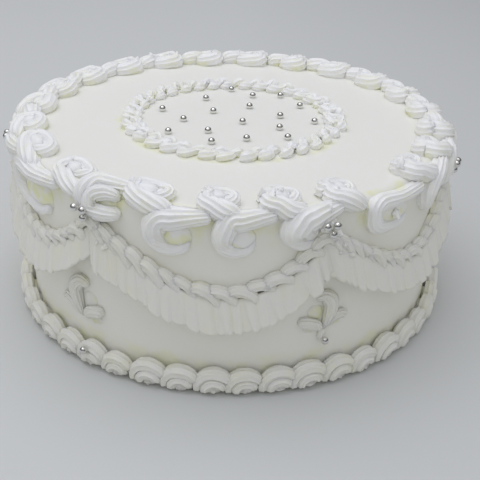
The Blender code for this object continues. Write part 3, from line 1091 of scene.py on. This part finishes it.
@dataclass
class JoinMounds(SubAssembly):
    """The mound of cream and the three balls at each join of the swags.

    Attributes:
        height: Height of a mound's middle.
        mound: Rows of a mound's stroke, from its middle.
        ball_places: Azimuth from the join, height and lift of each ball.
        peaks: Round length, rise and height of each torn peak. The first join has none.
    """

    height: float = 87.0
    mound: tuple[Row, ...] = (
        (-1.6, 3.6, 1.6, 3.0), (0.4, 1.4, 3.3, 4.4), (1.4, -0.8, 2.8, 4.0), (2.6, -4.8, 1.2, 2.2))
    ball_places: tuple[Place, ...] = ((-0.9, 89.2, 8.2), (1.4, 89.0, 8.15), (0.9, 84.4, 7.0))
    peaks: tuple[Place, ...] = (
        (-2.6, 4.6, 2.6), (0.6, 5.2, 2.8), (4.4, -1.5, 1.6), (5.6, -4.5, 1.4), (-4.6, -1.0, 1.6))

    def build(self) -> None:
        """Pipe the mounds and set the balls on them."""
        cream = CreamMesh(np.random.default_rng(22))
        middle = PROFILE.at_height(self.height)
        places = []
        for join in SWAG_JOINS:
            SOFT_STAR.pipe(cream, join, [(x, middle + y, out, size) for x, y, out, size in self.mound])
            for x, y, out in self.peaks if join != SWAG_JOINS[0] else ():
                PEAK.pull(cream, join, (x + cream.rng.uniform(-0.5, 0.5), middle + y, out))
            places += [
                (join + turn, PROFILE.at_height(z), lift) for turn, z, lift in self.ball_places]
        cream.finish("join_mounds", self.finishes.cream, "rim_scrolls")
        self.balls.scatter("join_balls", places, "rim_scrolls")


@dataclass(frozen=True)
class Hang:
    """Where one swag hangs.

    Attributes:
        start: Azimuth of its left end.
        end: Azimuth of its right end.
        drop: How far it hangs below its ends.
        top: Height of both ends.
        skew: Power that moves the lowest place towards the right.
    """

    start: float
    end: float
    drop: float
    top: float = 84.5
    skew: float = 1.3

    @property
    def span(self) -> float:
        """Length of the swag round the cake."""
        return math.radians(self.end - self.start) * PROFILE.radius

    def line(self, share: Number) -> Number:
        """Return the height of the swag's top edge at shares of its length."""
        return self.top - self.drop * (1.0 - (2.0 * share ** self.skew - 1.0) ** 2)


@dataclass
class Swags(SubAssembly):
    """Swags that hang between the joins: a crimped heading over a pleated frill.

    Attributes:
        drops: How far the middle of each swag hangs below its ends.
        heading: Height of the heading.
        commas: Shells in a heading.
        comma: A shell's rows: shares of the pitch, rises, heights and radii.
        torn: Length and depth of the torn peaks at a heading's start.
        frill_left: Depth of the frill at its left end.
        frill_right: Depth of the frill at its right end.
        frill_in: How far the frill stands off the icing at its top.
        frill_out: The same at its foot.
        columns: Number of columns of the frill's mesh.
        rows: Number of its rows from the heading to the foot.
        tucked: How far its top reaches up under the heading, as a share of the heading.
        lap: Share of a pleat after which it turns back under the next one.
        pleat_deep: Depth of the narrow pleats.
        pleat_width: Least and greatest width of the narrow pleats.
        wide_deep: Depth of the wide pleats.
        wide_pleats: Least and greatest width of the wide pleats.
        scallops: How far the wide and the narrow pleats draw the foot up and down.
        lap_over: How far the frill runs past the join.
        slant: How far the foot of the frill is shifted to the right.
        hem: Rise and inset of each row that rolls the foot's edge under.
        nozzle: Nozzle of the shells.
    """

    drops: tuple[float, ...] = (26.5, 26.5, 26.5, 26.5, 26.5, 26.5, 21.5)
    heading: float = 9.0
    commas: int = 15
    comma: tuple[Row, ...] = (
        (-0.4, -5.2, 2.2, 1.7), (-0.52, -3.2, 2.6, 2.4), (-0.15, -1.6, 2.9, 2.8),
        (0.38, -2.4, 3.1, 2.8), (0.8, -5.0, 3.3, 2.6), (1.0, -8.2, 3.5, 2.0),
        (1.05, -11.6, 3.7, 1.2),
    )
    torn: tuple[Pair, ...] = ((5.0, 2.5), (8.5, 4.0), (7.0, 8.0), (11.5, 7.5))
    frill_left: float = 13.5
    frill_right: float = 9.0
    frill_in: float = 4.3
    frill_out: float = 8.0
    columns: int = 300
    rows: int = 14
    tucked: float = 0.55
    lap: float = 0.66
    pleat_deep: float = 1.25
    pleat_width: Pair = (3.2, 8.0)
    wide_deep: float = 1.6
    wide_pleats: Pair = (8.0, 16.0)
    scallops: Pair = (1.3, 1.5)
    lap_over: float = 1.6
    slant: float = 2.2
    hem: tuple[Pair, ...] = ((-0.35, 0.5), (-0.2, 1.2), (0.8, 1.9))
    nozzle: StarNozzle = StarNozzle(
        teeth=7, groove=0.22, drift=0.2, pressure=0.06, ragged=0.03, spacing=0.8, fade=(1.1, 0.3))

    def pipe_heading(self, cream: CreamMesh, hang: Hang) -> None:
        """Pipe the row of comma shells along a swag's top edge.

        Args:
            cream: Mesh that takes the shells.
            hang: Where the swag hangs.
        """
        rng = cream.rng
        lengths = np.linspace(0.0, 1.0, 400)
        steps = np.hypot(np.diff(lengths * hang.span), np.diff(hang.line(lengths)))
        walked = np.concatenate([[0.0], np.cumsum(steps)])
        pitch = walked[-1] / self.commas
        for k in range(self.commas):
            at = (k + 0.35 + rng.uniform(-0.08, 0.08)) * pitch
            share = float(np.interp(at, walked, lengths))
            x, z = share * hang.span, hang.line(share)
            step = 0.01
            slope = (hang.line(min(share + step, 1.0)) - z) / (step * hang.span)
            run = np.array([1.0, slope]) / math.hypot(1.0, slope)
            size = 1.0 + rng.uniform(-0.1, 0.1)
            stroke = []
            for forward, down, out, radius in self.comma:
                across = x + forward * pitch * run[0] - 0.45 * max(down, -6.0) * run[1]
                along = PROFILE.at_height(z + forward * pitch * run[1] + down * size)
                stroke.append((across, along, out * size, radius * size))
            self.nozzle.pipe(cream, hang.start, stroke, PULLED_OFF)
        for x, down in self.torn:
            along = PROFILE.at_height(hang.line(x / hang.span) - down)
            PEAK.pull(cream, hang.start, (x + rng.uniform(-1.0, 1.0), along, 2.6))

    def fold(self, lengths: Array, bounds: Array, sizes: Array) -> tuple[Array, Array]:
        """Fold a row of a frill into pleats that lap over one another.

        Args:
            lengths: Distances along the row.
            bounds: Where each pleat begins.
            sizes: Size of each pleat, about 1.

        Returns:
            How far the row stands out, and a flat-topped bump over each pleat.
        """
        index = np.clip(np.searchsorted(bounds, lengths, side="right") - 1, 0, len(bounds) - 2)
        share = (lengths - bounds[index]) / (bounds[index + 1] - bounds[index])
        share = np.clip(share, 0.0, 1.0)
        drop_off = np.clip((share - self.lap) / (1.0 - self.lap), 0.0, 1.0)
        ramp = (0.25 + 0.75 * share ** 0.7) * (1.0 - drop_off ** 2 * (3.0 - 2.0 * drop_off))
        flat = 1.0 - np.abs(2.0 * share - 1.0) ** 5
        return ramp * sizes[index], flat * sizes[index]

    def pipe_frill(self, cream: CreamMesh, hang: Hang) -> None:
        """Hang the pleated frill under a heading.

        Args:
            cream: Mesh that takes the frill.
            hang: Where the swag hangs.
        """
        rng = cream.rng
        past = PROFILE.degrees_for(self.lap_over, -20.0)
        share = np.linspace(0.0, 1.0, self.columns)
        azimuth = hang.start - 0.3 * past + (hang.end - hang.start + 1.3 * past) * share
        lengths = share * hang.span
        pleats = []
        for wide in (self.wide_pleats, self.pleat_width):
            bounds = np.cumsum(rng.uniform(*wide, int(lengths[-1] / wide[0]) + 4)) - 2.5 * wide[1]
            lean = rng.uniform(-0.2, 0.3, len(bounds)) * wide[0]
            pleats.append((bounds, lean, 0.15 + 1.1 * rng.random(len(bounds)) ** 0.8))
        tall = self.frill_left + (self.frill_right - self.frill_left) * share
        head = hang.line(share) - self.tucked * self.heading
        foot = hang.line(share) - self.heading - tall
        for (bounds, lean, sizes), deep in zip(pleats, self.scallops):
            foot += deep * (0.5 - self.fold(lengths, bounds + lean, sizes)[1])
        fade = np.minimum(1.0, 0.55 + 9.0 * np.minimum(share, 1.0 - share))
        rows, painted_shade = [], []
        for down in np.linspace(0.0, 1.0, self.rows):
            spread = (self.frill_in + (self.frill_out - self.frill_in) * down ** 0.8) * fade
            wide, narrow = (
                self.fold(lengths, bounds + lean * down, sizes)[0] for bounds, lean, sizes in pleats)
            out = self.wide_deep * wide + self.pleat_deep * narrow
            rows.append((head + (foot - head) * down, spread + out * down ** 0.6))
            # Painted shade between the narrow pleats, and a little on the hem and the back.
            painted_shade.append(np.clip(0.28 - 0.28 * narrow, 0.0, 1.0))
        edge = rows[-1][1]
        sunk = np.full(self.columns, -0.5)
        rows += [(foot + rise, edge - inset) for rise, inset in self.hem]
        rows += [(foot + 3.0, 0.35 * edge), (foot + 4.0, sunk), (head - 1.0, sunk)]
        painted_shade += [np.full(self.columns, 0.2)] * (len(rows) - len(painted_shade))
        grid = []
        for z, spread in rows:
            lean = self.slant * (head - z) / (head - foot)
            along = PROFILE.at_height(z)
            grid.append(PROFILE.points(azimuth + PROFILE.degrees_for(lean, along), along, spread))
        rings = np.stack(grid, axis=1)
        tips = rings[[0, -1]].mean(axis=1)
        cream.add_tube(rings, tips, np.stack(painted_shade, axis=1), 0.3, clockwise=True)

    def build(self) -> None:
        """Build all the swags."""
        for index, start in enumerate(SWAG_JOINS):
            end = start + (SWAG_JOINS[(index + 1) % len(SWAG_JOINS)] - start) % 360.0
            hang = Hang(start, end, self.drops[index])
            for kind, seed, pipe in (
                ("heading", 40, self.pipe_heading), ("frill", 60, self.pipe_frill),
            ):
                cream = CreamMesh(np.random.default_rng(seed + index))
                pipe(cream, hang)
                name = f"swag_{kind}_{index + 1}"
                cream.finish(name, self.finishes.shaded_side_cream, f"swag_{index + 1}")


@dataclass
class Fleurs(SubAssembly):
    """Fleurs of three shells whose tails meet, one under each join.

    Attributes:
        head: Radius of a common shell's head.
        height: Height at which the tails meet.
        lean: How far the shells are shifted to the right of the tails.
        low_height: Height of the first fleur.
        low_scale: Size of the first fleur, negative because it is mirrored.
        turns: How far the first fleur and the others stand from their joins.
        pad_out: Height of the flat cream inside a shell.
        lobes: Round length, rise and thickness along each shell.
        pads: Round length, rise and radius along the cream inside each shell.
        nozzle: Nozzle of the shells.
    """

    head: float = 3.7
    height: float = 30.6
    lean: float = 1.9
    low_height: float = 25.0
    low_scale: float = -1.08
    turns: Pair = (-3.6, 1.0)
    pad_out: float = -0.9
    lobes: tuple[tuple[Triple, ...], ...] = (
        ((-13.0, 4.2, 0.6), (-9.6, 4.8, 0.85), (-4.6, 2.4, 0.85), (0.1, -1.6, 0.4)),
        ((12.6, 3.4, 0.55), (9.6, 6.0, 0.75), (5.2, 4.4, 0.75), (0.2, -1.6, 0.4)),
        (
            (-4.6, 17.0, 0.6), (-0.4, 18.2, 0.9), (3.4, 13.8, 1.05), (2.8, 6.0, 0.9),
            (0.3, -1.4, 0.4),
        ),
    )
    pads: tuple[tuple[Triple, ...], ...] = (
        ((-11.0, 1.2, 2.6), (-7.6, -0.2, 3.8), (-3.2, -0.8, 2.6)),
        ((11.0, 1.6, 2.6), (7.8, 1.8, 3.6), (3.4, 0.6, 2.6)),
        ((-6.0, 13.6, 3.4), (-4.6, 9.4, 5.0), (-1.8, 4.2, 3.4)),
    )
    nozzle: StarNozzle = StarNozzle(
        teeth=10, groove=0.26, drift=0.1, pressure=0.04, ragged=0.02, spacing=0.7, squat=0.62)

    def pipe_fleur(self, cream: CreamMesh, azimuth: float, height: float, scale: float) -> None:
        """Pipe the three shells of a fleur.

        Args:
            cream: Mesh that takes the shells.
            azimuth: Azimuth of the join of the tails.
            height: Height of the join.
            scale: Size against the common fleur, negative to mirror it.
        """
        rng = cream.rng
        join = PROFILE.at_height(height)
        size = abs(scale)
        for lobe, pad in zip(self.lobes, self.pads):
            stroke = []
            for x, y, share in lobe:
                radius = self.head * size * share
                place = (x + self.lean + rng.uniform(-0.3, 0.3)) * scale
                rise = (y + rng.uniform(-0.3, 0.3)) * size
                stroke.append((place, join + rise, 0.4 * radius, radius))
            inside = [
                ((x + self.lean) * scale, join + y * size, self.pad_out, radius * size)
                for x, y, radius in pad
            ]
            DOME.pipe(cream, azimuth, inside)
            self.nozzle.pipe(cream, azimuth, stroke, PULLED_OFF)

    def build(self) -> None:
        """Pipe the fleurs and set a ball under each but the first."""
        rng = np.random.default_rng(23)
        join = PROFILE.at_height(self.height)
        knot = [(self.lean, join - 1.0, 0.8, 1.9), (0.4, join - 6.6, 1.0, 2.1)]
        first_turn, turn = self.turns
        places = []
        for index, azimuth in enumerate(SWAG_JOINS):
            cream = CreamMesh(rng)
            if index == 0:
                self.pipe_fleur(cream, azimuth + first_turn, self.low_height, self.low_scale)
            else:
                self.pipe_fleur(cream, azimuth + turn, self.height, 1.0)
                SOFT_STAR.pipe(cream, azimuth + turn, knot)
                places.append((azimuth + 2.0 * turn, join - 6.1, 3.6))
            name = f"fleur_shells_{index + 1}"
            cream.finish(name, self.finishes.shaded_side_cream, f"fleur_{index + 1}")
        nodes = [f"fleur_{index + 1}" for index in range(1, len(SWAG_JOINS))]
        self.balls.scatter("fleur_balls", places, *nodes)


@dataclass
class BaseBorder(SubAssembly):
    """The shells piped round the foot of the cake, each of three arcs round a plain core.

    Attributes:
        shells: Number of shells.
        halves: Number of pieces that the border is made in.
        arcs: Round length, height and radius along each arc.
        outs: Height of each arc off the icing.
        core: Rows of the plain core, with heights in the place of profile distances.
        low_ball: Azimuth, height and lift of the one ball on the border.
        nozzle: Nozzle of the arcs.
    """

    shells: int = 47
    halves: int = 2
    arcs: tuple[tuple[Triple, ...], ...] = (
        (
            (-6.6, 0.6, 2.4), (-6.9, 5.2, 2.9), (-3.6, 9.6, 3.2), (1.6, 10.6, 3.2),
            (6.2, 8.2, 2.8), (8.4, 3.4, 2.0),
        ),
        (
            (-3.6, 0.6, 2.2), (-3.2, 4.4, 2.7), (-0.4, 6.8, 2.9), (3.2, 6.2, 2.8),
            (5.0, 3.2, 2.4), (5.2, 0.8, 1.8),
        ),
        ((-0.8, 0.6, 2.0), (-0.2, 2.6, 2.4), (1.8, 2.4, 2.3), (2.4, 0.6, 1.8)),
    )
    outs: Triple = (5.2, 6.3, 5.6)
    core: tuple[Row, ...] = ((-4.4, 3.0, 3.0, 3.0), (0.6, 4.4, 3.0, 5.0), (6.0, 3.0, 3.0, 3.0))
    low_ball: Place = (-35.2, 10.6, 9.4)
    nozzle: StarNozzle = StarNozzle(
        teeth=7, groove=0.18, drift=0.0, pressure=0.06, ragged=0.03, spacing=0.9)

    def pipe_shell(self, cream: CreamMesh, shell: int) -> None:
        """Pipe one shell of the border.

        Args:
            cream: Mesh that takes the shell.
            shell: Its number, from the front.
        """
        azimuth = 360.0 * (shell + 0.5 + cream.rng.uniform(-0.06, 0.06)) / self.shells
        size = 1.0 + cream.rng.uniform(-0.07, 0.07)
        for arc, out in zip(self.arcs, self.outs):
            stroke = [(x * size, PROFILE.at_height(z * size), out, r * size) for x, z, r in arc]
            self.nozzle.pipe(cream, azimuth, stroke, PULLED_OFF)
        core = [(x, PROFILE.at_height(z), out, radius) for x, z, out, radius in self.core]
        PLAIN.pipe(cream, azimuth, core)

    def build(self) -> None:
        """Pipe the shells one after another, level their foot and set the low ball."""
        rng = np.random.default_rng(24)
        for half in range(self.halves):
            cream = CreamMesh(rng)
            first, end = (k * self.shells // self.halves for k in (half, half + 1))
            for shell in range(first, end):
                self.pipe_shell(cream, shell)
            for points in cream.points:
                np.maximum(points[:, 2], 0.0, out=points[:, 2])
            cream.finish(f"base_shells_{half + 1}", self.finishes.shaded_side_cream, "base_border")
        azimuth, z, out = self.low_ball
        self.balls.scatter("base_ball", [(azimuth, PROFILE.at_height(z), out)], "base_border")


@dataclass
class TopRing(SubAssembly):
    """The rope of small shells round the middle of the top.

    Attributes:
        radius: Radius of the ring.
        shells: Number of shells.
        peak_odds: How often a shell keeps a torn peak.
        shell: Rows of a shell, from the middle of the rope.
        nozzle: Nozzle of the shells.
    """

    radius: float = 56.0
    shells: int = 36
    peak_odds: float = 0.5
    shell: tuple[Row, ...] = (
        (-7.2, -2.6, 1.5, 2.6), (-3.8, -3.6, 2.0, 3.1), (-0.6, -1.6, 1.6, 2.5),
        (1.2, 1.6, 1.6, 2.5), (4.4, 3.4, 2.0, 3.0), (7.8, 2.6, 1.4, 2.2),
    )
    nozzle: StarNozzle = StarNozzle(
        teeth=7, groove=0.2, drift=0.4, pressure=0.1, ragged=0.04, spacing=0.7)

    def build(self) -> None:
        """Pipe the rope, shell after shell."""
        rng = np.random.default_rng(25)
        cream = CreamMesh(rng)
        middle = PROFILE.at_radius(self.radius)
        for index in range(self.shells):
            azimuth = 360.0 * (index + rng.uniform(-0.08, 0.08)) / self.shells
            size = 1.0 + rng.uniform(-0.1, 0.1)
            stroke = []
            for x, y, out, radius in self.shell:
                length = x + rng.uniform(-0.5, 0.5)
                along = middle + y * size + rng.uniform(-0.5, 0.5)
                stroke.append((length, along, out * size, radius * size))
            self.nozzle.pipe(cream, azimuth, stroke, PULLED_OFF)
            if rng.random() < self.peak_odds:
                length = rng.uniform(-4.0, 4.0)
                SMALL_PEAK.pull(cream, azimuth, (length, middle + rng.uniform(-3.0, 3.0), 2.6))
        cream.finish("top_rope", self.finishes.cream, "top_ring")


@dataclass
class Studio:
    """Floor, light and camera.

    Attributes:
        place: Place of the camera in metres.
        yaw: Turn of the view to the right, in radians.
        pitch: Tilt of the view below level, in radians.
        roll: Turn of the picture, in radians.
        lens: Focal length of a lens on a sensor 36 wide.
        floor_size: Length of the floor's side in metres.
        floor_under: Depth of the floor under the cake in metres.
        floor_colour: Colour of the floor on the left.
        floor_shade: Brightness of the floor's painted shade at its right, as a share.
        floor_shade_reach: Distance to the right over which that painted shade deepens, in metres.
        bright_side: Where the dome is brightest.
        horizon: Colour of the dome at the horizon.
        overhead: Colour of the dome overhead.
        dome_spread: Where the dome's colour starts and stops changing.
        dome_strength: Strength of the dome's light.
        mirror_tones: Places and tones of what the silver mirrors, from below to overhead.
        lamp_place: Place of the lamp in metres.
        lamp_size: Its width and depth in metres.
        lamp_power: Its power.
        lamp_colour: Its colour.
    """

    place: Place = (0.0, -0.42415, 0.25075)
    yaw: float = 0.0132
    pitch: float = 0.5008
    roll: float = 0.0252
    lens: float = 60.1425
    floor_size: float = 8.0
    floor_under: float = 0.0002
    floor_colour: Colour = (0.64, 0.65, 0.62)
    floor_shade: float = 0.88
    floor_shade_reach: float = 0.35
    bright_side: Place = (-0.02, -0.18, 0.98)
    horizon: Colour = (0.64, 0.61, 0.48)
    overhead: Colour = (0.91, 0.945, 1.11)
    dome_spread: Pair = (-0.2, 0.95)
    dome_strength: float = 0.72
    mirror_tones: tuple[Pair, ...] = ((0.0, 0.12), (0.3, 0.07), (0.65, 0.3), (1.0, 1.0))
    lamp_place: Place = (-0.3, 0.15, 1.4)
    lamp_size: Pair = (1.5, 1.2)
    lamp_power: float = 6.5
    lamp_colour: Colour = (1.0, 1.0, 1.05)

    def build_camera(self) -> None:
        """Set the camera where the picture was taken from."""
        data = bpy.data.cameras.new("camera")
        data.lens = self.lens
        data.clip_start = 0.01
        camera = bpy.data.objects.new("camera", data)
        bpy.context.scene.collection.objects.link(camera)
        yaw = Matrix.Rotation(-self.yaw, 4, "Z")
        pitch = Matrix.Rotation(math.pi / 2 - self.pitch, 4, "X")
        roll = Matrix.Rotation(self.roll, 4, "Z")
        camera.matrix_world = Matrix.Translation(self.place) @ yaw @ pitch @ roll
        bpy.context.scene.camera = camera

    def build_floor(self) -> None:
        """Lay the pale floor, with painted shade that darkens it to the right."""
        deselect_all()
        bpy.ops.mesh.primitive_plane_add(
            size=self.floor_size, location=(0.0, 0.0, -self.floor_under))
        floor = bpy.context.object
        floor.name = "floor"
        material, sketch, shader = start_material("pale_floor")
        place = sketch.add("TexCoord", "Object", {})
        right = sketch.add("SeparateXYZ", "X", {"Vector": place})
        # Painted shade: the floor darkens towards the right, away from the light.
        share = sketch.add("MapRange", "Result", {"Value": right, "From Max": self.floor_shade_reach})
        shaded_floor = [self.floor_shade * part for part in self.floor_colour]
        colour = sketch.mix(share, (*self.floor_colour, 1.0), (*shaded_floor, 1.0))
        sketch.feed(shader, {"Base Color": colour, "Roughness": 0.6})
        floor.data.materials.append(material)

    def build_world(self) -> None:
        """Surround the scene with a dome that is bright overhead and dim at the horizon.

        What the silver mirrors of it is darker, like the room behind the lamps.
        """
        world = bpy.data.worlds.new("studio")
        bpy.context.scene.world = world
        world.use_nodes = True
        sketch = NodeSketch(world.node_tree)
        place = sketch.add("TexCoord", "Generated", {})
        toward = {0: place, 1: self.bright_side}
        rise = sketch.add("VectorMath", "Value", toward, operation="DOT_PRODUCT")
        low, high = self.dome_spread
        share = sketch.add("MapRange", "Result", {"Value": rise, "From Min": low, "From Max": high})
        dome = sketch.mix(share, (*self.horizon, 1.0), (*self.overhead, 1.0))
        room = sketch.add("ValToRGB", "Color", {"Fac": share})
        ramp = room.node.color_ramp.elements
        for spot, _ in self.mirror_tones[1:-1]:
            ramp.new(spot)
        for element, (_, tone) in zip(ramp, self.mirror_tones):
            element.color = (tone, tone, tone, 1.0)
        mirrored = sketch.add("LightPath", "Is Glossy Ray", {})
        background = {"Color": sketch.mix(mirrored, dome, room), "Strength": self.dome_strength}
        sketch.feed(world.node_tree.nodes["Background"], background)

    def build_light(self) -> None:
        """Hang a large soft light above the cake, a little to its left."""
        data = bpy.data.lights.new("soft_box", "AREA")
        data.shape = "RECTANGLE"
        data.size, data.size_y = self.lamp_size
        data.energy = self.lamp_power
        data.color = self.lamp_colour
        lamp = bpy.data.objects.new("soft_box", data)
        bpy.context.scene.collection.objects.link(lamp)
        lamp.location = self.lamp_place
        lamp.rotation_euler = (-lamp.location).to_track_quat("-Z", "Y").to_euler()

    def build(self) -> None:
        """Build the floor, the light and the camera."""
        self.build_floor()
        self.build_world()
        self.build_light()
        self.build_camera()
        bpy.context.scene.view_settings.view_transform = "Standard"


def main() -> None:
    """Load the frame, dress the cake and set the studio."""
    logging.basicConfig(level=logging.INFO, format="%(name)s %(message)s")
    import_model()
    deselect_all()
    finishes = Finishes.build()
    balls = SugarBalls(finishes.silver)
    for part in (IcedCoat, RimScrolls, JoinMounds, Swags, Fleurs, BaseBorder, TopRing):
        part(finishes, balls).build()
    Studio().build()


if __name__ == "__main__":
    main()
